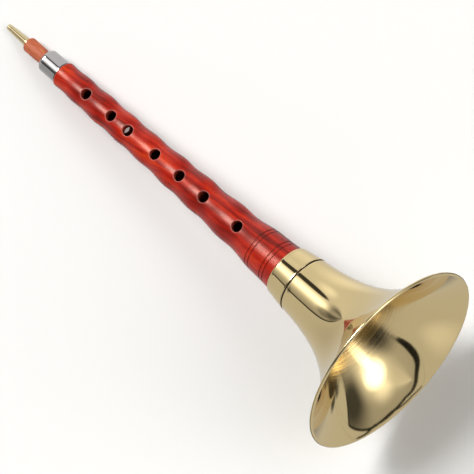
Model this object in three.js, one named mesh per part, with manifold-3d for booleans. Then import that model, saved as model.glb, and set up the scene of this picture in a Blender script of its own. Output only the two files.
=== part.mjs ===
// A suona: a loud double-reed horn with a wavy conical wooden body, a loose brass bell and a brass staple
// that the reed is pushed on.
//
// Lengths are in millimetres. Every piece is turned about the instrument's own axis, with its height
// measured from the plane of the bell's mouth towards the reed. The whole is then laid down as it rests on
// a table, on the edge of the bell and the tip of the staple, with the finger holes upwards and the mouth
// towards +X.

import * as THREE from "three";
import { mergeVertices } from "three/addons/utils/BufferGeometryUtils.js";
import Module from "manifold-3d";

const wasm = await Module();
wasm.setup();

// Room that is left between two pieces that touch
const fitClearance = 0.3;
// How far a cutting tool runs past what it cuts
const toolOverrun = 2;

// Wooden body
const bodyShownLength = 252.6;
const bodyLowDiameter = 38.7;
const bodyTopDiameter = 21.6;
const bodyTopRound = 1.25;
const boreTopDiameter = 7.8;
const boreLowDiameter = 25.8;
const bodyReachPastSeam = 7;
const topHoleDiameter = 8.4;
const lowHoleDiameter = 9;
const grooveWidth = 1;
const grooveDepth = 0.45;

// Brass collar over the body's lower end
const collarLength = 18.2;
const collarSheet = 0.5;
const collarWidening = 2.8;
const collarLipRise = 1.3;
const collarLipDepth = 2;

// Brass bell, with its edge rolled round a wire
const bellLength = 92.4;
const mouthDiameter = 160.6;
const bellSheet = 0.5;
const bellSetBack = 0.15;
const seamGap = 0.8;
const spigotLength = 5;
const joggleLength = 0.7;
const flareFadeHeight = 32;
const rimWireDiameter = 0.8;
const rimCurlTurnShare = 0.74;

// Nickel-plated ferrule on the body's top
const ferruleLength = 19.9;
const ferruleDiameter = 19.1;
const ferruleSheet = 0.5;
const ferruleRound = 3;

// Wooden plug that holds the staple, with thread wound on its tail
const plugShownLength = 21.7;
const plugDiameter = 12.5;
const plugLowDiameter = 11.5;
const plugTailTaper = 0.3;
const plugTailLength = 13.6;
const plugRound = 3.1;
const plugSwellShare = 0.71;
const lappingLength = 9;
const lappingDepth = 0.75;
const lappingStand = 0.1;
const lappingTopInset = 2.7;

// Brass staple
const stapleShownLength = 22.5;
const stapleTipDiameter = 4.8;
const stapleRootDiameter = 7;
const stapleWall = 0.45;

// The body's outline above the collar: share of the shown length, share of the widening from its top
// diameter to its low one. Swells and waists take turns, and the skirt below the last hole flares out.
const bodyOutlineShares = [
  [0, 1], [0.033, 0.923], [0.078, 0.857], [0.1, 0.82], [0.136, 0.68], [0.16, 0.56], [0.2, 0.486],
  [0.247, 0.53], [0.33, 0.302], [0.38, 0.385], [0.45, 0.22], [0.49, 0.284], [0.561, 0.091], [0.612, 0.152],
  [0.673, 0.042], [0.715, 0.12], [0.766, 0.015], [0.817, 0.112], [0.872, -0.026], [0.914, 0.043],
  [0.956, -0.041], [1, 0.004],
];
// The middles of the seven finger holes, from the lowest to the highest, and of the thumb hole behind
const fingerHoleShares = [0.19, 0.34, 0.448, 0.559, 0.682, 0.7585, 0.8725];
const thumbHoleShare = 0.732;
// Two pairs of scribed grooves on the skirt
const grooveShares = [0.0297, 0.0435, 0.0956, 0.1089];

const bodySides = 32;
const bellSides = 48;
const smallSides = 32;
const stapleSides = 24;
const holeSides = 24;
const wireSides = 6;
const spanSteps = 3;
const flareSteps = 16;
const roundSteps = 4;
const curlSteps = 6;
const splineSamples = 600;

// Heights along the axis
const seamHeight = bellLength + seamGap;
const collarTop = seamHeight + collarLength;
const bodyTop = collarTop + bodyShownLength;
const bodyEnd = seamHeight - bodyReachPastSeam;
const ferruleTop = bodyTop + ferruleLength;
const plugTop = ferruleTop + plugShownLength;
const plugEnd = ferruleTop - plugTailLength;
const stapleTip = plugTop + stapleShownLength;
const spigotTop = seamHeight + spigotLength;

const materials = {
  rosewood: new THREE.MeshStandardMaterial({ color: 0xb4301c, roughness: 0.28, metalness: 0 }),
  brass: new THREE.MeshStandardMaterial({ color: 0xd8c08a, roughness: 0.16, metalness: 1 }),
  spunBrass: new THREE.MeshStandardMaterial({ color: 0xd6bd84, roughness: 0.14, metalness: 1 }),
  nickel: new THREE.MeshStandardMaterial({ color: 0xc9c7c6, roughness: 0.12, metalness: 1 }),
  stainedWood: new THREE.MeshStandardMaterial({ color: 0xe07a55, roughness: 0.62, metalness: 0 }),
  thread: new THREE.MeshStandardMaterial({ color: 0xe6dcc4, roughness: 0.9, metalness: 0 }),
  stapleBrass: new THREE.MeshStandardMaterial({ color: 0xcdb478, roughness: 0.24, metalness: 1 }),
  rimWire: new THREE.MeshStandardMaterial({ color: 0xc2a469, roughness: 0.3, metalness: 1 }),
};

// A point of an outline: radius from the axis, height from the mouth
function at(radius, height) {
  return new THREE.Vector2(radius, height);
}

// An arc round a centre in the outline's plane. Its angles are turned from straight out towards straight up.
function arc(centre, radius, fromAngle, toAngle, steps) {
  const points = [];
  for (let step = 0; step <= steps; step += 1) {
    const angle = fromAngle + (toAngle - fromAngle) * (step / steps);
    points.push(at(centre.x + radius * Math.cos(angle), centre.y + radius * Math.sin(angle)));
  }
  return points;
}

// The radius of an outline, given as points in order of height, at any height
function radiusAt(outline, height) {
  const above = outline.findIndex((point) => point.y >= height);
  if (above <= 0) {
    return above === 0 ? outline[0].x : outline[outline.length - 1].x;
  }
  const low = outline[above - 1];
  const high = outline[above];
  return low.x + (high.x - low.x) * ((height - low.y) / (high.y - low.y));
}

// The closed section of a sheet that follows a middle line, half its thickness to each side, with its
// corners mitred so that the thickness is even
function sheetSection(middleLine, thickness) {
  const directions = middleLine.slice(1).map(
    (point, index) => point.clone().sub(middleLine[index]).normalize(),
  );
  const outer = [];
  const inner = [];
  middleLine.forEach((point, index) => {
    const arriving = directions[Math.max(index - 1, 0)];
    const leaving = directions[Math.min(index, directions.length - 1)];
    const along = arriving.clone().add(leaving).normalize();
    const reach = thickness / 2 / along.dot(arriving);
    const side = at(along.y, -along.x).multiplyScalar(reach);
    outer.push(point.clone().add(side));
    inner.push(point.clone().sub(side));
  });
  return [...outer, ...inner.reverse()];
}

// A solid of revolution from a closed section that runs up its outer side and down its inner side. The
// sides are turned so that the flat of one lies underneath.
function turned(section, sides) {
  const geometry = new THREE.LatheGeometry([...section, section[0].clone()], sides, Math.PI / sides);
  geometry.deleteAttribute("normal");
  geometry.deleteAttribute("uv");
  return mergeVertices(geometry);
}

function solidFrom(geometry) {
  const mesh = new wasm.Mesh({
    numProp: 3,
    vertProperties: new Float32Array(geometry.attributes.position.array),
    triVerts: new Uint32Array(geometry.index.array),
  });
  return new wasm.Manifold(mesh);
}

function geometryFrom(solid) {
  const mesh = solid.getMesh();
  const geometry = new THREE.BufferGeometry();
  geometry.setAttribute("position", new THREE.BufferAttribute(new Float32Array(mesh.vertProperties), 3));
  geometry.setIndex(new THREE.BufferAttribute(new Uint32Array(mesh.triVerts), 1));
  return geometry;
}

// The collar's outer radius: it stands clear of the wood at its lip and widens evenly to the seam
const collarTopRadius = bodyLowDiameter / 2 + fitClearance + collarLipRise;
const collarLipHeight = collarTop - collarLipDepth;

function collarRadius(height) {
  const slope = collarWidening / (collarLength - collarLipDepth);
  return collarTopRadius + (collarLipHeight - height) * slope;
}

// The bell's spigot goes up inside the collar, and the wood's seat goes down inside the spigot
function spigotOuterRadius(height) {
  return collarRadius(height) - collarSheet - fitClearance;
}

function seatRadius(height) {
  return spigotOuterRadius(height) - bellSheet - fitClearance;
}

// The turned outline of the shown body, without its grooves
function bodyOutline() {
  const topRadius = bodyTopDiameter / 2;
  const widening = bodyLowDiameter / 2 - topRadius;
  const stations = bodyOutlineShares.map(
    ([lengthShare, wideningShare]) =>
      at(topRadius + widening * wideningShare, collarTop + bodyShownLength * lengthShare),
  );
  return new THREE.SplineCurve(stations).getPoints(splineSamples);
}

// The shown body from the collar to the edge of its rounded top, with V-shaped grooves cut in the skirt
function groovedOutline(outline) {
  const topEdge = bodyTop - bodyTopRound;
  const heights = [];
  for (let station = 1; station < bodyOutlineShares.length; station += 1) {
    const low = collarTop + bodyShownLength * bodyOutlineShares[station - 1][0];
    const high = Math.min(collarTop + bodyShownLength * bodyOutlineShares[station][0], topEdge);
    for (let step = 0; step < spanSteps; step += 1) {
      heights.push(low + (high - low) * (step / spanSteps));
    }
  }
  const grooves = grooveShares.map((share) => collarTop + bodyShownLength * share);
  const farFromGrooves = (height) => grooves.every((groove) => Math.abs(height - groove) > grooveWidth);
  const plain = heights.filter(farFromGrooves).map((height) => at(radiusAt(outline, height), height));
  const cut = grooves.flatMap((groove) => [
    at(radiusAt(outline, groove - grooveWidth / 2), groove - grooveWidth / 2),
    at(radiusAt(outline, groove) - grooveDepth, groove),
    at(radiusAt(outline, groove + grooveWidth / 2), groove + grooveWidth / 2),
  ]);
  const edge = at(radiusAt(outline, topEdge), topEdge);
  return [...plain, ...cut, edge].sort((one, other) => one.y - other.y);
}

// The radius that the ferrule leaves for the wood inside it
const tenonRadius = ferruleDiameter / 2 - ferruleSheet - fitClearance;
const tenonTop = ferruleTop - ferruleSheet - fitClearance;
const tenonRound = ferruleRound - ferruleSheet - fitClearance;
const lappingOuterRadius = plugLowDiameter / 2 + lappingStand;
const socketRadius = lappingOuterRadius + fitClearance;
const socketBottom = plugEnd - fitClearance;

// One tool for a finger hole: a round bar from the axis out through the wall, on the given side
function holeCutter(height, radius, outline, side) {
  const length = radiusAt(outline, height) + toolOverrun;
  const cutter = new THREE.CylinderGeometry(radius, radius, length, holeSides);
  cutter.rotateX(Math.PI / 2);
  cutter.translate(0, height, (side * length) / 2);
  cutter.deleteAttribute("normal");
  cutter.deleteAttribute("uv");
  return solidFrom(mergeVertices(cutter));
}

// The body: seat, skirt and waves outside, a tenon and a plug socket at the top, one conical bore, seven
// finger holes in front and a thumb hole behind
function woodenBody() {
  const outline = bodyOutline();
  const shown = groovedOutline(outline);
  const topRadius = radiusAt(outline, bodyTop - bodyTopRound);
  const topEdge = arc(
    at(topRadius - bodyTopRound, bodyTop - bodyTopRound), bodyTopRound, 0, Math.PI / 2, roundSteps,
  );
  const tenonEdge = arc(
    at(tenonRadius - tenonRound, tenonTop - tenonRound), tenonRound, 0, Math.PI / 2, roundSteps,
  );
  const section = [
    at(seatRadius(bodyEnd), bodyEnd),
    at(seatRadius(spigotTop), spigotTop),
    ...shown,
    ...topEdge.slice(1),
    at(tenonRadius, bodyTop),
    ...tenonEdge,
    at(socketRadius, tenonTop),
    at(socketRadius, socketBottom),
    at(boreTopDiameter / 2, socketBottom),
    at(boreLowDiameter / 2, bodyEnd),
  ];
  let wood = solidFrom(turned(section, bodySides));
  const highest = fingerHoleShares.length - 1;
  fingerHoleShares.forEach((share, index) => {
    const diameter = lowHoleDiameter + (topHoleDiameter - lowHoleDiameter) * (index / highest);
    wood = wood.subtract(holeCutter(collarTop + bodyShownLength * share, diameter / 2, outline, 1));
  });
  const thumbHeight = collarTop + bodyShownLength * thumbHoleShare;
  wood = wood.subtract(holeCutter(thumbHeight, topHoleDiameter / 2, outline, -1));
  return geometryFrom(wood);
}

// The collar: an even cone of sheet whose upper edge rolls in to the wood
function bellCollar() {
  const half = collarSheet / 2;
  const lipRadius = bodyLowDiameter / 2 + fitClearance + half;
  const lip = [];
  for (let step = 0; step <= roundSteps; step += 1) {
    const angle = (Math.PI / 2) * (step / roundSteps);
    const rise = (collarLipRise - collarSheet) * Math.cos(angle);
    lip.push(at(lipRadius + rise, collarLipHeight + (collarLipDepth - half) * Math.sin(angle)));
  }
  const middleLine = [at(collarRadius(seamHeight) - half, seamHeight), ...lip];
  return turned(sheetSection(middleLine, collarSheet), bellSides);
}

// The bell flares as an exponential horn: up from the mouth, what it is wider than its neck dies away by
// the same factor over every millimetre. The lean of its sheet at the mouth follows from that.
const neckRadius = collarRadius(seamHeight) - bellSetBack - bellSheet / 2;

function flareFade(height) {
  return Math.exp(-height / flareFadeHeight);
}

const flareWidening = (mouthDiameter / 2 - neckRadius) / (1 - flareFade(bellLength));
const mouthLean = Math.atan(flareWidening / flareFadeHeight);

// Centre and size of the roll round the rim wire. The roll is pressed flat in front, at the mouth's plane.
const rimCurlRadius = rimWireDiameter / 2 + fitClearance + bellSheet;
const rimMiddleRadius = rimCurlRadius - bellSheet / 2;
const rimCurlCentre = at(
  mouthDiameter / 2 - rimCurlRadius,
  rimMiddleRadius * Math.sin(mouthLean) + bellSheet / 2,
);

// The bell's section: a spigot inside the collar, a joggle out to the neck, the flare, and the roll
function bellSection() {
  const half = bellSheet / 2;
  const curlStart = mouthLean - Math.PI;
  const flatEnd = -mouthLean;
  const curlEnd = curlStart + rimCurlTurnShare * 2 * Math.PI;
  const flatStart = arc(rimCurlCentre, rimMiddleRadius, curlStart, flatEnd, 1)[0];
  const curl = [flatStart, ...arc(rimCurlCentre, rimMiddleRadius, flatEnd, curlEnd, curlSteps)];
  const flareHeight = bellLength - flatStart.y;
  const widening = (flatStart.x - neckRadius) / (1 - flareFade(flareHeight));
  const stations = [];
  for (let step = 0; step <= splineSamples; step += 1) {
    const rise = flareHeight * (1 - step / splineSamples);
    stations.push(at(flatStart.x - widening * (1 - flareFade(rise)), flatStart.y + rise));
  }
  const flare = new THREE.SplineCurve(stations).getSpacedPoints(flareSteps);
  flare[0].y -= joggleLength;
  const middleLine = [
    at(spigotOuterRadius(spigotTop) - half, spigotTop),
    at(spigotOuterRadius(bellLength) - half, bellLength),
    ...flare,
    ...curl.slice(1),
  ];
  return sheetSection(middleLine.reverse(), bellSheet);
}

// The wire inside the bell's rolled edge
function bellRimWire() {
  const ring = arc(rimCurlCentre, rimWireDiameter / 2, 0, 2 * Math.PI, wireSides);
  return turned(ring.slice(0, wireSides), bellSides);
}

// The ferrule: a thin cap over the tenon with a rounded top and a hole for the plug
function topFerrule() {
  const half = ferruleSheet / 2;
  const wallRadius = ferruleDiameter / 2 - half;
  const centre = at(ferruleDiameter / 2 - ferruleRound, ferruleTop - ferruleRound);
  const middleLine = [
    at(wallRadius, bodyTop + fitClearance),
    ...arc(centre, ferruleRound - half, 0, Math.PI / 2, roundSteps),
  ];
  if (socketRadius < centre.x) {
    middleLine.push(at(socketRadius, ferruleTop - half));
  }
  return turned(sheetSection(middleLine, ferruleSheet), smallSides);
}

// The plug: a tail in the socket with a recess for the thread, a swelling head, and a hole for the staple
function staplePlug() {
  const holeRadius = stapleRootDiameter / 2 + fitClearance;
  const tailSlope = plugTailTaper / plugTailLength;
  const tailRadius = (height) => plugLowDiameter / 2 - (ferruleTop - height) * tailSlope;
  const lappingTop = ferruleTop - lappingTopInset;
  const lappingEnd = lappingTop - lappingLength;
  const recessRadius = plugLowDiameter / 2 - lappingDepth;
  const head = new THREE.SplineCurve([
    at(plugLowDiameter / 2, ferruleTop),
    at(plugDiameter / 2, ferruleTop + plugShownLength * plugSwellShare),
    at(plugDiameter / 2, plugTop - plugRound),
  ]);
  const shoulder = arc(
    at(plugDiameter / 2 - plugRound, plugTop - plugRound), plugRound, 0, Math.PI / 2, roundSteps,
  );
  const section = [
    at(tailRadius(plugEnd), plugEnd),
    at(tailRadius(lappingEnd), lappingEnd),
    at(recessRadius, lappingEnd),
    at(recessRadius, lappingTop),
    at(tailRadius(lappingTop), lappingTop),
    ...head.getPoints(roundSteps),
    ...shoulder.slice(1).filter((point) => point.x > holeRadius),
    at(holeRadius, plugTop),
    at(holeRadius, plugEnd),
  ];
  return turned(section, smallSides);
}

// The thread wound on the plug's tail, as one sleeve in its recess
function plugLapping() {
  const innerRadius = plugLowDiameter / 2 - lappingDepth + fitClearance / 2;
  const top = ferruleTop - lappingTopInset - fitClearance;
  const end = top + 2 * fitClearance - lappingLength;
  const section = [
    at(lappingOuterRadius, end),
    at(lappingOuterRadius, top),
    at(innerRadius, top),
    at(innerRadius, end),
  ];
  return turned(section, smallSides);
}

// The staple: a thin tube, straight inside the plug and tapering to the tip that takes the reed
function staple() {
  const rootRadius = stapleRootDiameter / 2;
  const tipRadius = stapleTipDiameter / 2;
  const section = [
    at(rootRadius, plugEnd),
    at(rootRadius, plugTop),
    at(tipRadius, stapleTip),
    at(tipRadius - stapleWall, stapleTip),
    at(rootRadius - stapleWall, plugTop),
    at(rootRadius - stapleWall, plugEnd),
  ];
  return turned(section, stapleSides);
}

// The angle at which the axis rises towards the bell when the instrument lies on the edge of its bell and
// on whichever ring of its narrow half reaches the table first. Each ring rests on the flat of a side.
function restingLean(rim) {
  const flatShare = (sides) => Math.cos(Math.PI / sides);
  const rings = [
    at((stapleTipDiameter / 2) * flatShare(stapleSides), stapleTip),
    at((plugDiameter / 2) * flatShare(smallSides), plugTop - plugRound),
    at((ferruleDiameter / 2) * flatShare(smallSides), ferruleTop - ferruleRound),
    at((bodyTopDiameter / 2) * flatShare(bodySides), bodyTop - bodyTopRound),
  ];
  const leanOn = (ring) => {
    const leans = rim.map((point) => Math.atan2(point.x * flatShare(bellSides) - ring.x, ring.y - point.y));
    return Math.max(...leans);
  };
  return Math.min(...rings.map(leanOn));
}

const bellOutline = bellSection();
const pieces = {
  bell: [turned(bellOutline, bellSides), materials.spunBrass],
  bell_rim_wire: [bellRimWire(), materials.rimWire],
  bell_collar: [bellCollar(), materials.brass],
  body: [woodenBody(), materials.rosewood],
  top_ferrule: [topFerrule(), materials.nickel],
  staple_plug: [staplePlug(), materials.stainedWood],
  plug_lapping: [plugLapping(), materials.thread],
  staple: [staple(), materials.stapleBrass],
};

const instrument = new THREE.Group();
Object.entries(pieces).forEach(([name, [geometry, material]]) => {
  geometry.computeVertexNormals();
  const mesh = new THREE.Mesh(geometry, material);
  mesh.name = name;
  instrument.add(mesh);
});
// Lay the axis along X with the mouth at +X and the finger holes up
instrument.rotation.z = Math.PI / 2;

const laid = new THREE.Group();
laid.add(instrument);
laid.rotation.y = -restingLean(bellOutline);

// The origin is in the middle of the ground that the instrument covers
const suona = new THREE.Group();
suona.add(laid);
suona.updateMatrixWorld(true);
const extent = new THREE.Box3().setFromObject(suona, true);
const middle = extent.getCenter(new THREE.Vector3());
laid.position.set(-middle.x, -middle.y, -extent.min.z);

export default suona;
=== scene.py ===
import math

import bmesh
import bpy
import numpy as np
from mathutils import Matrix, Vector


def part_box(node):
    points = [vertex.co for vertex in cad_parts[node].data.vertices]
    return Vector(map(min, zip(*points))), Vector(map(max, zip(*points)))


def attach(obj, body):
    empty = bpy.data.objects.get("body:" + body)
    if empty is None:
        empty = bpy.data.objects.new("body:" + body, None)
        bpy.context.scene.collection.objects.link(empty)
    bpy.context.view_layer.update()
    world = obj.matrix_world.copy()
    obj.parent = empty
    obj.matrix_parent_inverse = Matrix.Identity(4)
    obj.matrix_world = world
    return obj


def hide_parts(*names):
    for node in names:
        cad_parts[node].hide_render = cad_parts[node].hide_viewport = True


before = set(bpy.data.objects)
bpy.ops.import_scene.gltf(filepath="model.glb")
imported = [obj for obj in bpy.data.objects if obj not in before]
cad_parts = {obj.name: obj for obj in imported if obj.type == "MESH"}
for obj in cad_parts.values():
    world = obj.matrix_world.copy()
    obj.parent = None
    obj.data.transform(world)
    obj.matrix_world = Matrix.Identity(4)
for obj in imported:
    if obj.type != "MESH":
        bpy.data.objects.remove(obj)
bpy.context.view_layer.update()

# The line that every piece is turned about runs through the middles of two plain rings on it, the lapping and
# the rim's wire, up from the mouth towards the reed. The pieces are drawn in millimetres: across to the finger
# holes, across to the side, and up from the mouth's plane.
sheet = 0.5
wire_radius = 0.4
clearance = 0.3
bell_length = 92.4
flare_fade_height = 32.0
neck_radius = 23.35
rim_radius = (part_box("bell")[1].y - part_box("bell")[0].y) / 2 * 1000
flare_widening = (rim_radius - neck_radius) / (1 - math.exp(-bell_length / flare_fade_height))
mouth_lean = math.atan(flare_widening / flare_fade_height)
roll_radius = wire_radius + clearance + sheet / 2
roll_height = roll_radius * math.sin(mouth_lean) + sheet / 2


def middle_of(node):
    low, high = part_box(node)
    return (low + high) / 2


reedward = (middle_of("plug_lapping") - middle_of("bell_rim_wire")).normalized()
sideward = Vector((0, 1, 0))
holeward = sideward.cross(reedward)
mouth_middle = middle_of("bell_rim_wire") - reedward * roll_height / 1000
directions = Matrix((holeward, sideward, reedward)).transposed()
instrument = Matrix.LocRotScale(mouth_middle, directions.to_quaternion(), (0.001, 0.001, 0.001))

# The camera looks down on the instrument as the photograph does: from so far that the pipe hardly tapers
# by distance, and so high over the mouth that the axis leans 26 degrees towards the lens.
image_width = 474
focal_pixels = 4000
metres_per_pixel = 0.0007467
axis_lean = math.radians(25.9)
axis_turn = math.radians(41.3)
aim_height = 0.15928
aim_pixel = (243.3, 232.0)


def place_camera():
    back = (-reedward * math.sin(axis_lean) + holeward * math.cos(axis_lean)).normalized()
    along = sideward.cross(back)
    right = along * math.cos(axis_turn) + sideward * math.sin(axis_turn)
    up = back.cross(right)
    aim = mouth_middle + reedward * aim_height
    centre = aim - right * (aim_pixel[0] - image_width / 2) * metres_per_pixel
    centre -= up * (image_width / 2 - aim_pixel[1]) * metres_per_pixel
    data = bpy.data.cameras.new("camera")
    data.sensor_width = 36
    data.lens = data.sensor_width * focal_pixels / image_width
    data.clip_end = 50
    camera = bpy.data.objects.new("camera", data)
    bpy.context.scene.collection.objects.link(camera)
    camera.matrix_world = Matrix((right, up, back)).transposed().to_4x4()
    camera.matrix_world.translation = centre + back * focal_pixels * metres_per_pixel
    bpy.context.scene.camera = camera


place_camera()


# The studio is a pale floor in a white tent, with a long soft panel over the instrument and parallel to it.
# The panel's black edges give the thin dark lines in polished metal, soft shades and lamps the rest. Only the
# direction counts, as the tent is so large, and polished metal shows its lower half in place of the floor.
floor_colour = "#e3e2e0"
tent_glow = 0.6
# The glow on the reed's and on the mouth's side, each by the degrees round the axis from the finger holes. The
# third line is the share of it that is left, by the degrees towards the reed, where the two sides blend.
over_reed = (
    (-180, 0.64), (-57.0, 0.62), (-56.4, 0.03), (-52.2, 0.03), (-51.6, 0.4), (-40, 0.5), (-30, 0.75),
    (-22, 1.25), (-13, 2.2), (-3, 2.0), (5, 1.25), (13, 0.85), (22, 0.78), (60, 0.78), (120, 0.74), (180, 0.7),
)
over_mouth = (
    (-180, 0.55), (-55, 0.45), (-20, 0.5), (5, 0.7), (60, 0.8), (80, 0.55), (100, 0.46), (128, 0.42),
    (180, 0.46),
)
dim_between = ((-90, 1.0), (-12, 1.0), (0, 0.4), (10, 0.28), (22, 0.28), (24.8, 1.0), (90, 1.0))
side_blend_start = -15.0
side_blend_end = 5.0
# The panel's black edges: where their middles run and how wide they are on each side, along the panel.
edge_core = 0.7
edge_light = 0.03
near_edge_normal = (0.762, 0.647, 0.0)
near_edge_along = (0.647, -0.762, 0.0)
end_edge_normal = (0.646, -0.199, -0.737)
near_edge_middle = (
    (-0.8, -0.055), (-0.68, -0.032), (-0.57, -0.017), (-0.47, 0.011), (-0.37, 0.028), (-0.19, 0.0),
    (-0.115, -0.041), (-0.045, -0.05), (0.05, -0.045), (0.112, -0.054), (0.198, -0.074), (0.288, -0.078),
    (0.378, -0.068), (0.495, -0.052), (0.615, -0.014), (0.7, 0.03), (0.8, 0.07),
)
near_edge_width = (
    (-0.79, 0.001), (-0.77, 0.014), (-0.3, 0.014), (-0.1, 0.022), (0.05, 0.03), (0.112, 0.036), (0.198, 0.045),
    (0.288, 0.058), (0.378, 0.072), (0.495, 0.084), (0.615, 0.084), (0.66, 0.075), (0.68, 0.001),
)
second_edge_middle = (
    (-0.72, -0.13), (-0.686, -0.105), (-0.638, -0.075), (-0.53, 0.003), (-0.325, 0.013), (-0.161, -0.064),
    (-0.103, -0.117), (-0.05, -0.14),
)
second_edge_width = ((-0.7, 0.001), (-0.68, 0.012), (-0.1, 0.012), (-0.08, 0.001))
end_edge = ((-0.02, 1.0), (-0.012, 0.03), (0.006, 0.03), (0.014, 1.0))
# Soft ovals, all in degrees: round the axis, towards the reed, half width and half height. Then the share of
# the way out at which one starts to fade, and the part of the light it takes, or for a lamp its strength.
panel_shades = ((112, -40, 44, 22, 0.25, 0.85),)
shades = (
    (19, 42, 9.5, 20, 0.7, 0.94), (-17, -20, 46, 30, 0.55, 0.97), (-18, -40, 42, 22, 0.15, 0.62),
    (-8, 80, 46, 25, 0.4, 0.8), (-38, 76, 24, 11, 0.2, 0.45), (-30, 64, 20, 13, 0.4, 0.55),
    (-44, 27, 17, 9, 0.4, 0.78), (-48, 35.4, 20, 2.0, 0.5, 0.62), (-90, 29.5, 42, 2.4, 0.6, 0.25),
    (-110, 66, 75, 34, 0.0, 0.16), (-180, 14, 50, 12, 0.6, 0.8), (180, 14, 50, 12, 0.6, 0.8),
    (-9, 35.9, 26, 1.7, 0.4, 0.42), (125, -17.5, 11, 4, 0.5, 0.85), (139, -14, 11, 4.5, 0.5, 0.85),
)
lamps = (
    (-4, 18.6, 20, 9.4, 0.35, 24.0), (-4, 32.4, 19, 1.7, 0.5, 42.0), (38.5, -32, 16, 27, 0.6, 1.7),
    (47, -55, 41, 15, 0.5, 1.7), (51, -54, 61, 26, 0.1, 0.6), (75, -68, 40, 12, 0.1, 0.5),
    (45, 52, 26, 12, 0.1, 0.35), (110, 42, 60, 14, 0.0, 0.3), (-115, -58, 38, 17, 0.1, 0.2),
)


def linear(hex_colour):
    """An sRGB hex colour as the linear red, green, blue and alpha that Blender's nodes take."""
    shares = [int(hex_colour[i:i + 2], 16) / 255 for i in (1, 3, 5)]
    return tuple(s / 12.92 if s <= 0.04045 else ((s + 0.055) / 1.055) ** 2.4 for s in shares) + (1.0,)


def set_inputs(tree, node, values):
    """Gives inputs of a node, by name or number, a value, a node or a socket each."""
    for name, value in values.items():
        if isinstance(value, bpy.types.Node):
            value = value.outputs[0]
        if isinstance(value, bpy.types.NodeSocket):
            tree.links.new(value, node.inputs[name])
        else:
            node.inputs[name].default_value = value


def add_node(tree, kind, inputs=None, **settings):
    """Adds a node with its settings and inputs. Inputs 1 and 2 of a map range are the ends it reads, and 3 and
    4 the ends it gives."""
    node = tree.nodes.new(kind)
    for name, value in settings.items():
        setattr(node, name, value)
    set_inputs(tree, node, inputs or {})
    return node


def set_stops(ramp, stops, low, high, colours=False):
    """Gives a ramp its stops, each a place between low and high and a share or a hex colour."""
    elements = ramp.color_ramp.elements
    while len(elements) > 1:
        elements.remove(elements[-1])
    for number, (place, value) in enumerate(stops):
        where = (place - low) / (high - low)
        element = elements[0] if number == 0 else elements.new(where)
        element.position = where
        element.color = linear(value) if colours else (value, value, value, 1.0)


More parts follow.
